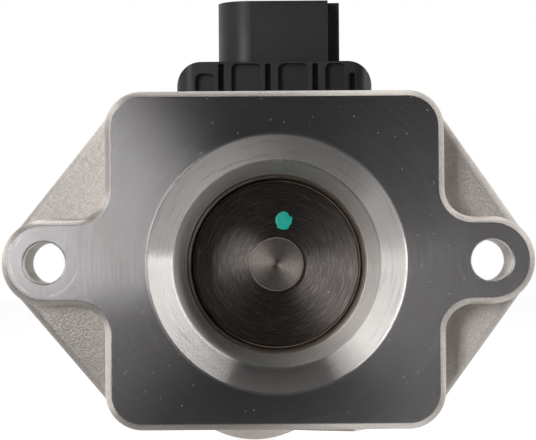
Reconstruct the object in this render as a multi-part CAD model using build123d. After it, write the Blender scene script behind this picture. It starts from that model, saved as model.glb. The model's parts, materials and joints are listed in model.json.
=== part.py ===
from build123d import *
import os
from math import acos, atan2, cos, degrees, hypot, pi, radians, sin, sqrt, tan

# Electric exhaust gas recirculation valve, in millimetres.
# X is across the flange, Y runs from the flange face into the valve, Z is up.
# The origin is where the axis of the round port meets the machined flange face.

# Clearances and shared thicknesses
running_gap = 0.03
loose_gap = 0.3
thread_gap = 0.2

# Flange, ears and webs
hole_spacing = 96.0
hole_radius = 4.5
hole_chamfer = 0.2
bolt_centre_x = -1.85
bolt_line_z = 0.55
plate_width = 73.2
plate_height = 72.9
plate_rise = 0.3
plate_centre_x = -0.4
plate_corner_radius = 8.0
plate_thickness = 14.0
cast_edge_radius = 3.0
face_stock = 0.5
ear_radius = 9.4
ear_root_radius = 6.0
ear_thickness = 20.5
web_recess = 8.0
web_back = 16.5
web_edge_radius = 1.5
web_top_rise = 31.6
web_bottom_drop = 30.2
web_ear_margin = 0.35

# Port, seat and gas chamber
chamfer_radius = 27.8
lip_radius = 22.2
lip_depth = 4.0
lip_round = 1.2
land_length = 2.5
throat_radius = 20.4
seat_depth = 22.2
seat_outer_radius = 20.2
seat_mouth_radius = 19.3
seat_bore_radius = 17.3
seat_cone_offset = 4.0
seat_length = 7.8
seat_shoulder = 1.9
chamber_radius = 20.5
chamber_end = 51.0
chamber_wall = 5.0
outlet_centre_y = 43.0
outlet_radius = 10.0
outlet_wall = 4.5
outlet_mouth_radius = 10.8
outlet_mouth_depth = 6.0
outlet_mouth_taper = 2.0
outlet_face_z = -37.5
outlet_flange_thickness = 8.0
outlet_flange_length = 48.0
outlet_flange_width = 26.0
outlet_flange_turn = -22.5
outlet_corner_radius = 1.2
outlet_hole_spacing = 34.0
outlet_hole_radius = 2.5

# Valve disc and stem
disc_radius = 18.85
disc_setback = 2.8
disc_edge_chamfer = 0.5
disc_back_radius = 16.6
disc_hub_radius = 7.0
disc_hub_length = 4.2
seat_gap = 0.05
stem_radius = 4.0
stem_head_radius = 6.0
stem_head_height = 1.6
stem_head_chamfer = 0.3
stem_spigot_radius = 3.0
dimple_radius = 1.1
dimple_depth = 0.7

# Stem guide, seal and return spring
wall_back = 66.0
bushing_radius = 6.0
seal_radius = 7.4
seal_length = 2.4
cap_radius = 8.2
cap_length = 1.2
guide_boss_radius = 7.6
spring_pocket_radius = 10.6
spring_pocket_floor = 55.5
spring_radius = 9.0
spring_wire_radius = 0.75
spring_turns = 5.5
spring_end_gap = 0.12
retainer_radius = 10.2
retainer_thickness = 1.2

# Crank and yoke
crank_throw = 7.0
crank_half_angle = 35.0
roller_radius = 4.0
roller_height = 8.0
slot_clearance = 0.15
slot_half_length = 5.7
yoke_front_bar = 3.5
yoke_rear_bar = 2.5
yoke_side_bar = 2.8
yoke_height = 10.0
yoke_corner_radius = 3.0
crank_pin_radius = 2.5
crank_pin_collar_radius = 3.3
crank_hub_radius = 8.0
crank_tip_radius = 4.8
crank_web_bottom = 10.8
crank_web_thickness = 3.8
clip_thickness = 0.6
clip_width = 1.3

# Drive chamber under the shaft
drive_wall = 4.0
drive_left = -18.5
drive_right = 12.5
drive_front_gap = 0.5
drive_back = 90.6
drive_corner_radius = 5.0
drive_bottom = -18.0
drive_ceiling_gap = 0.7
drive_cover_thickness = 1.5
drive_gasket_thickness = 0.5
drive_screw_inset = 0.8

# Output shaft and its bearings
shaft_radius = 5.0
shaft_gear_seat_radius = 4.2
shaft_flat_depth = 0.6
needle_cup_radius = 7.0
needle_cup_wall = 0.9
needle_cup_length = 8.0
needle_count = 18
bearing_radius = 11.0
bearing_width = 6.0
bearing_ball_radius = 1.6
bearing_ball_count = 11
bearing_ring_wall = 1.9
bearing_drop = 2.5
circlip_thickness = 1.0
circlip_width = 1.9
magnet_radius = 3.3
magnet_height = 2.4

# Gear train
output_module = 0.8
motor_module = 0.6
idler_turn = 62.6
motor_turn = 116.8
sector_teeth = 37
idler_small_teeth = 12
idler_large_teeth = 50
pinion_teeth = 14
pressure_angle = 20.0
output_shift = 0.35
motor_shift = 0.3
gear_backlash = 0.08
sector_margin_angle = 16.0
sector_hub_radius = 7.4
sector_bottom_gap = 0.6
sector_thickness = 4.0
gear_level_gap = 1.4
large_gear_width = 3.6
idler_axle_radius = 2.0
idler_axle_root = 8.0
idler_washer_radius = 4.4
idler_hub_radius = 4.5

# Joint face of the body and the gear cover
deck_z = 36.0
deck_thickness = 4.5
cover_left = -24.0
cover_right = 23.4
cover_front = 62.0
cover_back = 137.0
cover_top = 49.2
cover_shoulder_radius = 6.0
cover_plan_radius = 4.0
cover_inner_radius = 2.0
cover_rear_radius = 12.0
cover_side_wall = 3.0
cover_front_wall = 5.4
cover_back_wall = 3.0
cover_roof = 2.0
cover_base_height = 3.5
lug_radius = 4.6
lug_offset = 4.2
lug_front_y = 74.0
lug_rear_y = 118.0
lug_back_spacing = 20.0
lug_boss_height = 11.0
cover_screw_radius = 2.0
cover_screw_head_radius = 3.5
cover_screw_head_height = 2.4
cover_screw_grip = 8.0
cover_bush_wall = 0.9
gasket_width = 1.6
gasket_height = 1.5
gasket_inset = 0.7

# Ribs of the cover
rib_width = 1.7
rib_places = (-20.3, -11.6, -0.25, 11.2, 20.1)
rib_slot_width = 1.45
rib_leg_width = 0.85
rib_pocket_depth = 2.3
rib_slot_depth = 3.2
rib_top_margin = 0.5
outer_rib_drop = 2.4
rib_corner_radius = 1.4
side_pocket_depth = 1.1
side_rib_pitch = 11.3

# Wiring socket on the cover
socket_left = -14.0
socket_right = 12.85
socket_front = 66.0
socket_depth = 16.0
socket_top = 64.4
socket_floor = 51.5
socket_wall = 1.6
socket_key_width = 2.9
socket_key_front = 71.6
socket_key_depth = 5.2
pin_count = 5
pin_pitch = 4.2
pin_width = 1.5
pin_thickness = 0.64
pin_top = 60.0

# Position sensor
board_left = -18.6
board_right = 4.0
board_front = 68.5
board_back = 92.0
board_thickness = 0.8
chip_size = 5.0
chip_height = 0.9
post_radius = 1.0
post_inset = 3.0

# Motor
motor_radius = 15.0
motor_wall = 1.0
motor_bottom = -35.0
motor_boss_radius = 6.5
motor_boss_length = 3.5
motor_plate_thickness = 1.4
motor_ear_radius = 3.8
motor_ear_reach = 18.4
motor_ear_angles = (53.0, 115.0, -20.0)
motor_screw_radius = 1.5
motor_screw_head_radius = 2.8
motor_screw_head_height = 2.0
motor_screw_depth = 7.0
motor_shaft_radius = 1.6
motor_magnet_thickness = 2.4
motor_magnet_half_angle = 66.0
motor_stack_bottom = -22.0
motor_stack_top = 16.0
armature_gap = 0.5
armature_poles = 5
winding_overhang = 4.0
commutator_radius = 4.6
commutator_length = 8.0
brush_width = 4.0
brush_height = 5.0
motor_bearing_radius = 4.5
motor_bearing_length = 3.6
damper_height = 1.6
damper_inner_radius = 9.0
terminal_spacing = 13.0
terminal_offset_y = 7.0
terminal_width = 3.0
terminal_thickness = 0.8
terminal_rise = 5.5
pocket_gap = 0.5
pocket_wall = 3.3
dome_radius = 24.0
dome_bottom = -46.0

# Places worked out from the sizes above
plate_side = plate_width / 2
ear_places = [bolt_centre_x - hole_spacing / 2, bolt_centre_x + hole_spacing / 2]
seat_end = seat_depth + seat_length
seat_cone_start = seat_depth + seat_cone_offset
seat_cone_end = seat_cone_start + seat_mouth_radius - seat_bore_radius
disc_front = seat_depth + disc_setback
disc_cone_sum = seat_mouth_radius + seat_cone_start - seat_gap * sqrt(2)
disc_rim_end = disc_cone_sum - disc_radius
disc_back = disc_cone_sum - disc_back_radius

valve_stroke = 2 * crank_throw * sin(radians(crank_half_angle))
pin_reach_mean = crank_throw * (1 + cos(radians(crank_half_angle))) / 2
shaft_x = -pin_reach_mean
yoke_front_open = wall_back + loose_gap * 2 + retainer_thickness
yoke_front = yoke_front_open + valve_stroke
slot_half_width = roller_radius + slot_clearance
pin_rest_y = yoke_front + yoke_front_bar + slot_half_width
yoke_back = pin_rest_y + slot_half_width + yoke_rear_bar
shaft_y = pin_rest_y - valve_stroke / 2
pin_rest_x = shaft_x + crank_throw * cos(radians(crank_half_angle))
crank_web_top = crank_web_bottom + crank_web_thickness
drive_front = wall_back + drive_front_gap
drive_ceiling = crank_web_top + drive_ceiling_gap

sector_bottom = deck_z + sector_bottom_gap
sector_top = sector_bottom + sector_thickness
large_gear_bottom = sector_top + gear_level_gap
large_gear_top = large_gear_bottom + large_gear_width
bearing_top = deck_z - bearing_drop
bearing_bottom = bearing_top - bearing_width
needle_bottom = drive_ceiling
needle_top = needle_bottom + needle_cup_length

output_centre_distance = output_module * (sector_teeth + idler_small_teeth) / 2
motor_centre_distance = motor_module * (idler_large_teeth + pinion_teeth) / 2
mesh_direction = radians(idler_turn)
idler_x = shaft_x + output_centre_distance * cos(mesh_direction)
idler_y = shaft_y + output_centre_distance * sin(mesh_direction)
pinion_direction = radians(motor_turn)
motor_x = idler_x + motor_centre_distance * cos(pinion_direction)
motor_y = idler_y + motor_centre_distance * sin(pinion_direction)

cover_centre_x = (cover_left + cover_right) / 2
cover_width = cover_right - cover_left
cover_inner_top = cover_top - cover_roof
lug_places = [
    (cover_left - lug_offset, lug_front_y),
    (cover_left - lug_offset, lug_rear_y),
    (cover_right + lug_offset, lug_front_y),
    (cover_right + lug_offset, lug_rear_y),
    (motor_x - lug_back_spacing / 2, cover_back + lug_offset),
    (motor_x + lug_back_spacing / 2, cover_back + lug_offset),
]

pocket_radius = motor_radius + pocket_gap
pocket_outer_radius = pocket_radius + pocket_wall
motor_plate_bottom = deck_z - motor_plate_thickness
pocket_floor = motor_bottom - damper_height
motor_boss_bottom = motor_bottom - motor_boss_length
motor_ears = [
    (
        motor_x + motor_ear_reach * cos(radians(angle)),
        motor_y + motor_ear_reach * sin(radians(angle)),
    )
    for angle in motor_ear_angles
]
socket_back = socket_front + socket_depth
socket_middle_y = (socket_front + socket_back) / 2
pin_places = [
    (socket_left + socket_right) / 2 + pin_pitch * (number - (pin_count - 1) / 2)
    for number in range(pin_count)
]
board_top = cover_inner_top - loose_gap
board_bottom = board_top - board_thickness
terminal_places = [motor_x - terminal_spacing / 2, motor_x + terminal_spacing / 2]
terminal_y = motor_y + terminal_offset_y


# Simple solids

def rod_y(radius, start, end, x=0.0, z=0.0):
    """Cylinder along Y from start to end."""
    upright = Cylinder(radius, end - start, align=(Align.CENTER, Align.CENTER, Align.MIN))
    return Pos(x, start, z) * Rot(-90, 0, 0) * upright


def rod_z(radius, bottom, top, x=0.0, y=0.0):
    """Cylinder along Z from bottom to top."""
    upright = Cylinder(radius, top - bottom, align=(Align.CENTER, Align.CENTER, Align.MIN))
    return Pos(x, y, bottom) * upright


def ring_z(outer, inner, bottom, top, x=0.0, y=0.0):
    """Tube along Z."""
    return rod_z(outer, bottom, top, x, y) - rod_z(inner, bottom, top, x, y)


def block(left, right, front, back, bottom, top):
    """Box between two corners."""
    size = Box(right - left, back - front, top - bottom)
    return Pos((left + right) / 2, (front + back) / 2, (bottom + top) / 2) * size


def prism_y(sketch, start, end):
    """Sketch of X and Z, drawn as X and Y, pushed along Y from start to end."""
    return extrude(Plane.XZ.offset(-start) * sketch, amount=start - end)


def prism_z(sketch, bottom, top):
    """Sketch of X and Y pushed up from bottom to top."""
    return extrude(Pos(0, 0, bottom) * sketch, amount=top - bottom)


def turned_y(points):
    """Solid of revolution about the Y axis from points of radius and Y."""
    return revolve(make_face(Polyline(*points, close=True)), axis=Axis.Y)


def rounded_plan(left, right, front, back, radius):
    """Rounded rectangle between two corners."""
    shape = RectangleRounded(right - left, back - front, radius)
    return Pos((left + right) / 2, (front + back) / 2) * shape


def bar_between(start, end, radius):
    """Slot shape with a round end at each of two points."""
    length = hypot(end[0] - start[0], end[1] - start[1])
    turn = degrees(atan2(end[1] - start[1], end[0] - start[0]))
    middle = Pos((start[0] + end[0]) / 2, (start[1] + end[1]) / 2) * Rot(0, 0, turn)
    return middle * SlotCenterToCenter(length, 2 * radius)


def tangent_point(point, centre, radius, side):
    """Where a line from a point touches a circle, on the given side of it."""
    away = hypot(point[0] - centre[0], point[1] - centre[1])
    toward = atan2(point[1] - centre[1], point[0] - centre[0])
    turn = toward + side * acos(radius / away)
    return (centre[0] + radius * cos(turn), centre[1] + radius * sin(turn))


def tapered_bar(large, large_radius, small, small_radius):
    """Two circles joined by their outer tangents."""
    away = hypot(small[0] - large[0], small[1] - large[1])
    toward = atan2(small[1] - large[1], small[0] - large[0])
    spread = acos((large_radius - small_radius) / away)
    corners = []
    for side in (1, -1):
        turn = toward + side * spread
        corners.append((large[0] + large_radius * cos(turn), large[1] + large_radius * sin(turn)))
        corners.append((small[0] + small_radius * cos(turn), small[1] + small_radius * sin(turn)))
    outline = make_face(Polyline(corners[0], corners[1], corners[3], corners[2], close=True))
    return outline + Pos(*large) * Circle(large_radius) + Pos(*small) * Circle(small_radius)


def around(centre, radius, count, start=0.0):
    """Points evenly spaced on a circle."""
    turns = [start + 2 * pi * number / count for number in range(count)]
    return [(centre[0] + radius * cos(turn), centre[1] + radius * sin(turn)) for turn in turns]


# Flange outline

def plate_outline():
    """Rounded rectangle of the plate."""
    centre = Pos(plate_centre_x, bolt_line_z + plate_rise)
    return centre * RectangleRounded(plate_width, plate_height, plate_corner_radius)


def flange_outline():
    """Raised outline of the plate and both ears."""
    shape = plate_outline()
    for ear_x in ear_places:
        shape += bar_between((plate_centre_x, bolt_line_z), (ear_x, bolt_line_z), ear_radius)
    corners = []
    for side in (-1, 1):
        for rise in (-1, 1):
            corner = (plate_centre_x + side * plate_side, bolt_line_z + rise * ear_radius, 0)
            corners.append(shape.vertices().sort_by_distance(corner)[0])
    straight = min(abs(ear_x - plate_centre_x) for ear_x in ear_places) - plate_side
    return fillet(corners, min(ear_root_radius, 0.95 * straight))


def web_outline():
    """Recessed webs that brace the ears against the plate."""
    shape = plate_outline()
    for side, ear_x in zip((-1, 1), ear_places):
        root_x = plate_centre_x + side * plate_side
        centre = (ear_x, bolt_line_z)
        top = (root_x, bolt_line_z + web_top_rise)
        bottom = (root_x, bolt_line_z - web_bottom_drop)
        edge_radius = ear_radius + web_ear_margin
        top_touch = tangent_point(top, centre, edge_radius, -side)
        bottom_touch = tangent_point(bottom, centre, edge_radius, side)
        inner_x = root_x - side * plate_corner_radius
        points = [
            (inner_x, top[1]), top, top_touch, centre, bottom_touch, bottom, (inner_x, bottom[1]),
        ]
        shape += make_face(Polyline(*points, close=True))
    return shape


# Body casting

def flange():
    """Plate with its raised machined face, ears and recessed webs.

    The casting's rounded rim is cut flat where the face is machined.
    """
    raised = prism_y(flange_outline(), -face_stock, plate_thickness)
    front_edges = raised.edges().filter_by_position(Axis.Y, -face_stock - 0.01, 0)
    raised = fillet(front_edges, cast_edge_radius)
    reach = hole_spacing
    raised -= block(-reach, reach, -2 * face_stock, 0, -reach, reach)
    webs = prism_y(web_outline(), web_recess, web_back)
    web_edges = webs.edges().filter_by_position(Axis.Y, web_recess - 0.01, web_recess + 0.01)
    webs = fillet(web_edges, web_edge_radius)
    shape = raised + webs
    for ear_x in ear_places:
        shape += rod_y(ear_radius, web_recess, ear_thickness, ear_x, bolt_line_z)
    return shape


def deck_plan():
    """Outline of the joint face that the cover stands on."""
    plan = cover_plan()
    for lug in lug_places:
        plan += Pos(*lug) * Circle(lug_radius)
        inner_x = min(max(lug[0], cover_left + lug_radius), cover_right - lug_radius)
        inner_y = min(lug[1], cover_back - lug_radius)
        plan += bar_between(lug, (inner_x, inner_y), lug_radius)
    return plan


def long_plan(left, right, front, back, front_radius, rear_radius):
    """Rectangle seen from above with its own radius on the front and rear corners."""
    plan = Pos((left + right) / 2, (front + back) / 2) * Rectangle(right - left, back - front)
    plan = fillet(plan.vertices().group_by(Axis.Y)[0], front_radius)
    return fillet(plan.vertices().group_by(Axis.Y)[-1], rear_radius)


def cover_plan(inset=0.0):
    """Outline of the cover seen from above, drawn in by an even margin."""
    return long_plan(
        cover_left + inset,
        cover_right - inset,
        cover_front + inset,
        cover_back - inset,
        cover_plan_radius - inset,
        cover_rear_radius - inset,
    )


def outlet_plan(length, width, radius):
    """Turned rounded rectangle about the outlet axis."""
    turn = Pos(0, outlet_centre_y) * Rot(0, 0, outlet_flange_turn)
    return turn * RectangleRounded(length, width, radius)


def outlet_hole_places():
    """Centres of the two threaded holes beside the outlet."""
    turn = radians(outlet_flange_turn)
    reach = outlet_hole_spacing / 2
    return [
        (side * reach * cos(turn), outlet_centre_y + side * reach * sin(turn)) for side in (-1, 1)
    ]


def drive_block_plan(growth):
    """Plan of the drive chamber, grown outwards."""
    return rounded_plan(
        drive_left - growth,
        drive_right + growth,
        drive_front - growth,
        drive_back + growth,
        drive_corner_radius,
    )


def drive_screw_places():
    """Corners of the drive block where its cover is screwed on."""
    left = drive_left - drive_screw_inset
    right = drive_right + drive_screw_inset
    front = drive_front - drive_screw_inset
    back = drive_back + drive_screw_inset
    return [(left, front), (right, front), (left, back), (right, back)]


def casting():
    """Outside of the body before its passages are cut."""
    housing_radius = chamber_radius + chamber_wall
    shape = flange()
    shape += rod_y(housing_radius, plate_thickness / 2, drive_front - drive_wall)
    shape += prism_z(drive_block_plan(drive_wall), drive_bottom, deck_z)
    shape += rod_z(outlet_radius + outlet_wall, outlet_face_z, 0, 0, outlet_centre_y)
    outlet = outlet_plan(outlet_flange_length, outlet_flange_width, outlet_corner_radius)
    shape += prism_z(outlet, outlet_face_z, outlet_face_z + outlet_flange_thickness)
    dome_centre = dome_bottom + dome_radius
    dome = Pos(motor_x, motor_y, dome_centre) * Sphere(dome_radius)
    column = rod_z(pocket_outer_radius, dome_bottom, deck_z, motor_x, motor_y)
    below = rod_z(dome_radius, dome_bottom, dome_centre, motor_x, motor_y) & dome
    above = rod_z(pocket_outer_radius, dome_centre, deck_z, motor_x, motor_y)
    shape += (column & below) + above
    shape += prism_z(deck_plan(), deck_z - deck_thickness, deck_z)
    for lug in lug_places:
        shape += rod_z(lug_radius, deck_z - lug_boss_height, deck_z, *lug)
    for ear in motor_ears:
        shape += rod_z(motor_ear_radius, deck_z - lug_boss_height, deck_z, *ear)
    shape += casting_ribs(housing_radius)
    return shape


def casting_ribs(housing_radius):
    """Stiffening ribs between the plate, the chamber and the deck."""
    rib_half = chamber_wall / 2
    deck_bottom = deck_z - deck_thickness
    ribs = block(
        -rib_half, rib_half, plate_thickness / 2, cover_front + cover_front_wall,
        housing_radius - chamber_wall, deck_bottom,
    )
    for side in (-1, 1):
        reach = side * (plate_side - plate_corner_radius)
        points = [
            (side * chamber_radius, plate_thickness - 1),
            (reach, plate_thickness - 1),
            (side * chamber_radius, wall_back - drive_wall),
        ]
        gusset = make_face(Polyline(*points, close=True))
        ribs += prism_z(gusset, bolt_line_z - rib_half, bolt_line_z + rib_half)
    return ribs


def gas_passages():
    """Port, seat bore, chamber and outlet, as one tool to cut away."""
    land_end = lip_depth + land_length
    profile = make_face(Polyline(
        (0, -1),
        (chamfer_radius + (chamfer_radius - lip_radius) / lip_depth, -1),
        (lip_radius, lip_depth),
        (lip_radius, land_end),
        (throat_radius, seat_depth),
        (seat_outer_radius, seat_depth),
        (seat_outer_radius, seat_end),
        (seat_outer_radius - seat_shoulder, seat_end),
        (chamber_radius, seat_end + seat_shoulder),
        (chamber_radius, chamber_end),
        (0, chamber_end),
        close=True,
    ))
    lip = profile.vertices().sort_by_distance((lip_radius, lip_depth, 0))[0]
    tool = revolve(fillet(lip, lip_round), axis=Axis.Y)
    tool += rod_z(outlet_radius, outlet_face_z - 1, 0, 0, outlet_centre_y)
    mouth_end = outlet_face_z + outlet_mouth_depth
    tool += rod_z(outlet_mouth_radius, outlet_face_z - 1, mouth_end, 0, outlet_centre_y)
    taper = Cone(outlet_mouth_radius, outlet_radius, outlet_mouth_taper)
    tool += Pos(0, outlet_centre_y, mouth_end + outlet_mouth_taper / 2) * taper
    return tool


def stem_bores():
    """Bores for the seal, its cap and the guide bushing, and the spring pocket."""
    tool = rod_y(cap_radius, chamber_end - 1, chamber_end + cap_length)
    tool += rod_y(seal_radius, chamber_end, chamber_end + cap_length + seal_length)
    tool += rod_y(bushing_radius, chamber_end, drive_front)
    pocket = rod_y(spring_pocket_radius, spring_pocket_floor, drive_front + drive_corner_radius)
    pocket -= rod_y(guide_boss_radius, spring_pocket_floor, wall_back)
    return tool + pocket


def shaft_bores():
    """Drive chamber and the stepped bore for the output shaft."""
    tool = prism_z(drive_block_plan(0), drive_bottom - 1, drive_ceiling)
    tool += rod_z(needle_cup_radius, drive_ceiling - 1, needle_top, shaft_x, shaft_y)
    tool += rod_z(shaft_radius + loose_gap, needle_top - 1, bearing_bottom, shaft_x, shaft_y)
    tool += rod_z(bearing_radius, bearing_bottom, deck_z + 1, shaft_x, shaft_y)
    groove_radius = bearing_radius + circlip_width / 3
    tool += rod_z(groove_radius, bearing_top, bearing_top + circlip_thickness, shaft_x, shaft_y)
    return tool


def motor_bores():
    """Motor pocket with recesses for its boss and its plate."""
    tool = rod_z(pocket_radius, pocket_floor, deck_z + 1, motor_x, motor_y)
    boss_room = motor_boss_bottom - pocket_gap
    tool += rod_z(motor_boss_radius + pocket_gap, boss_room, pocket_floor, motor_x, motor_y)
    for ear in motor_ears:
        ear_plan = bar_between((motor_x, motor_y), ear, motor_ear_radius + running_gap)
        tool += prism_z(ear_plan, motor_plate_bottom, deck_z + 1)
        tool += rod_z(motor_screw_radius, deck_z - motor_screw_depth - 1, deck_z, *ear)
    return tool


def screw_bores():
    """Holes in the ears, the deck lugs, the drive block and the outlet flange."""
    tool = rod_z(idler_axle_radius, deck_z - idler_axle_root, deck_z + 1, idler_x, idler_y)
    for ear_x in ear_places:
        tool += rod_y(hole_radius, -1, ear_thickness + 1, ear_x, bolt_line_z)
        mouth = turned_y([
            (0, -1),
            (hole_radius + hole_chamfer + 1, -1),
            (hole_radius, hole_chamfer),
            (0, hole_chamfer),
        ])
        tool += Pos(ear_x, 0, bolt_line_z) * mouth
    for lug in lug_places:
        tool += rod_z(cover_screw_radius, deck_z - cover_screw_grip - 1, deck_z + 1, *lug)
    for place in drive_screw_places():
        tool += rod_z(motor_screw_radius, drive_bottom - 1, drive_bottom + motor_screw_depth, *place)
    for place in outlet_hole_places():
        top = outlet_face_z + outlet_flange_thickness + 1
        tool += rod_z(outlet_hole_radius, outlet_face_z - 1, top, *place)
    return tool


def valve_body():
    """Cast and machined aluminium body."""
    return casting() - gas_passages() - stem_bores() - shaft_bores() - motor_bores() - screw_bores()


# Valve and seat

def seat_ring():
    """Hard seat ring pressed into the port."""
    return turned_y([
        (seat_outer_radius, seat_depth),
        (seat_outer_radius, seat_end),
        (seat_bore_radius, seat_end),
        (seat_bore_radius, seat_cone_end),
        (seat_mouth_radius, seat_cone_start),
        (seat_mouth_radius, seat_depth + disc_edge_chamfer),
        (seat_mouth_radius + disc_edge_chamfer, seat_depth),
    ])


def valve_disc():
    """Poppet disc with a conical edge and a hub."""
    return turned_y([
        (stem_radius, disc_front),
        (disc_radius - disc_edge_chamfer, disc_front),
        (disc_radius, disc_front + disc_edge_chamfer),
        (disc_radius, disc_rim_end),
        (disc_back_radius, disc_back),
        (disc_hub_radius, disc_back),
        (disc_hub_radius, disc_back + disc_hub_length),
        (stem_radius, disc_back + disc_hub_length),
    ])


def valve_stem():
    """Stem with a wide head in front and a spigot at the yoke."""
    head_front = disc_front - stem_head_height
    return turned_y([
        (0, head_front + dimple_depth),
        (dimple_radius, head_front),
        (stem_head_radius - stem_head_chamfer, head_front),
        (stem_head_radius, head_front + stem_head_chamfer),
        (stem_head_radius, disc_front),
        (stem_radius, disc_front),
        (stem_radius, yoke_front - retainer_thickness),
        (stem_spigot_radius, yoke_front - retainer_thickness),
        (stem_spigot_radius, yoke_front + yoke_front_bar),
        (0, yoke_front + yoke_front_bar),
    ])


def stem_bushing():
    """Guide bushing that the stem slides in."""
    start = chamber_end + cap_length + seal_length
    bore = stem_radius + running_gap
    return rod_y(bushing_radius, start, wall_back) - rod_y(bore, start, wall_back)


def stem_seal():
    """Lip seal on the stem with a groove between its lips."""
    start = chamber_end + cap_length
    end = start + seal_length
    middle = (start + end) / 2
    bore = stem_radius + running_gap
    return turned_y([
        (bore, start), (seal_radius, start), (seal_radius, end), (bore, end),
        (bore, end - 0.6), (bore + 0.7, middle), (bore, start + 0.6),
    ])


def seal_cap():
    """Pressed cap that holds the seal."""
    start = chamber_end
    end = start + cap_length
    return rod_y(cap_radius, start, end) - rod_y(stem_radius + loose_gap, start, end)


def return_spring():
    """Compression spring that closes the valve."""
    start = spring_pocket_floor + spring_wire_radius + spring_end_gap
    end = yoke_front - retainer_thickness - spring_wire_radius - spring_end_gap
    height = end - start
    path = Helix(height / spring_turns, height, spring_radius)
    section = Plane(path @ 0, z_dir=path % 0) * Circle(spring_wire_radius)
    coil = sweep(section, path=path)
    return Pos(0, start, 0) * Rot(-90, 0, 0) * coil


def spring_retainer():
    """Washer between the spring and the yoke."""
    front = yoke_front - retainer_thickness
    return rod_y(retainer_radius, front, yoke_front) - rod_y(stem_spigot_radius, front, yoke_front)


def stem_yoke():
    """Frame with a slot across it that the crank roller drives."""
    half_width = slot_half_length + yoke_side_bar
    half_height = yoke_height / 2
    plan = rounded_plan(-half_width, half_width, yoke_front, yoke_back, yoke_corner_radius)
    slot = rounded_plan(
        -slot_half_length,
        slot_half_length,
        pin_rest_y - slot_half_width,
        pin_rest_y + slot_half_width,
        1.0,
    )
    frame = prism_z(plan - slot, -half_height, half_height)
    return frame - rod_y(stem_spigot_radius, yoke_front - 1, yoke_front + yoke_front_bar + 0.5)


# Crank shaft and bearings

def crank_shaft():
    """Upright shaft with a crank web below and a flatted gear seat above."""
    gear_seat_top = sector_top + clip_thickness + loose_gap
    web = tapered_bar((shaft_x, shaft_y), crank_hub_radius, (pin_rest_x, pin_rest_y), crank_tip_radius)
    shape = prism_z(web, crank_web_bottom, crank_web_top)
    shape -= rod_z(crank_pin_radius, crank_web_bottom, crank_web_top, pin_rest_x, pin_rest_y)
    shape += rod_z(shaft_radius, crank_web_top, sector_bottom, shaft_x, shaft_y)
    return shape + shaft_gear_seat(gear_seat_top) - clip_groove(gear_seat_top)


def shaft_gear_seat(top):
    """Upper end of the shaft with a flat that turns the sector gear."""
    seat = rod_z(shaft_gear_seat_radius, sector_bottom, top, shaft_x, shaft_y)
    flat_x = shaft_x - shaft_gear_seat_radius + shaft_flat_depth
    return seat & block(
        flat_x, shaft_x + shaft_radius, shaft_y - shaft_radius, shaft_y + shaft_radius,
        sector_bottom, top,
    )


def clip_groove(top):
    """Ring groove above the sector gear."""
    inner = shaft_gear_seat_radius - shaft_flat_depth
    bottom = top - clip_thickness - loose_gap
    return ring_z(shaft_radius, inner, bottom, bottom + clip_thickness, shaft_x, shaft_y)


def open_ring(outer, inner, bottom, top, x, y, mouth):
    """Retaining ring with an open mouth towards +Y."""
    ring = ring_z(outer, inner, bottom, top, x, y)
    return ring - block(x - mouth / 2, x + mouth / 2, y, y + outer + 1, bottom, top)


def sector_clip():
    """Retaining ring above the sector gear."""
    inner = shaft_gear_seat_radius - shaft_flat_depth
    outer = shaft_radius + 0.6
    return open_ring(outer, inner, sector_top, sector_top + clip_thickness, shaft_x, shaft_y, inner)


def crank_pin():
    """Pin pressed into the crank web, with a collar above the roller."""
    half_roller = roller_height / 2
    clip_top = -half_roller - loose_gap
    end = clip_top - clip_thickness - 0.6
    x, y = pin_rest_x, pin_rest_y
    pin = rod_z(crank_pin_radius, end, crank_web_top, x, y)
    pin += rod_z(crank_pin_collar_radius, half_roller + loose_gap, crank_web_bottom, x, y)
    groove_bottom = clip_top - clip_thickness
    return pin - ring_z(crank_pin_radius + 1, crank_pin_radius - 0.5, groove_bottom, clip_top, x, y)


def roller_clip():
    """Retaining ring under the roller."""
    top = -roller_height / 2 - loose_gap
    inner = crank_pin_radius - 0.5
    return open_ring(
        inner + clip_width, inner, top - clip_thickness, top, pin_rest_x, pin_rest_y, inner
    )


def crank_roller():
    """Roller on the crank pin that runs in the yoke."""
    half = roller_height / 2
    roller = ring_z(
        roller_radius, crank_pin_radius + running_gap, -half, half, pin_rest_x, pin_rest_y
    )
    rims = roller.edges().filter_by(GeomType.CIRCLE)
    outer_rims = [edge for edge in rims if edge.radius > roller_radius - 0.1]
    return chamfer(outer_rims, 0.3)


def needle_radius():
    """Radius of one needle between the shaft and the cup."""
    return (needle_cup_radius - needle_cup_wall - shaft_radius) / 2 - running_gap


def needle_cup():
    """Drawn cup of the lower bearing with its lips turned in."""
    inner = needle_cup_radius - needle_cup_wall
    lip = shaft_radius + loose_gap
    x, y = shaft_x, shaft_y
    cup = ring_z(needle_cup_radius, lip, needle_bottom, needle_top, x, y)
    return cup - rod_z(inner, needle_bottom + needle_cup_wall, needle_top - needle_cup_wall, x, y)


def needle_rollers():
    """Needles of the lower bearing."""
    radius = needle_radius()
    track = shaft_radius + radius + running_gap
    bottom = needle_bottom + needle_cup_wall + 0.1
    top = needle_top - needle_cup_wall - 0.1
    places = around((shaft_x, shaft_y), track, needle_count)
    return Compound([rod_z(radius, bottom, top, *place) for place in places])


def bearing_race():
    """Ring-shaped groove that the balls of the upper bearing run in."""
    track = (bearing_radius + shaft_radius) / 2
    middle = (bearing_bottom + bearing_top) / 2
    groove = Plane.XZ * (Pos(track, middle) * Circle(bearing_ball_radius + running_gap))
    return Pos(shaft_x, shaft_y, 0) * revolve(groove, axis=Axis.Z)


def bearing_outer_ring():
    """Outer ring of the upper ball bearing."""
    inner = bearing_radius - bearing_ring_wall
    ring = ring_z(bearing_radius, inner, bearing_bottom, bearing_top, shaft_x, shaft_y)
    return ring - bearing_race()


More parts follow.
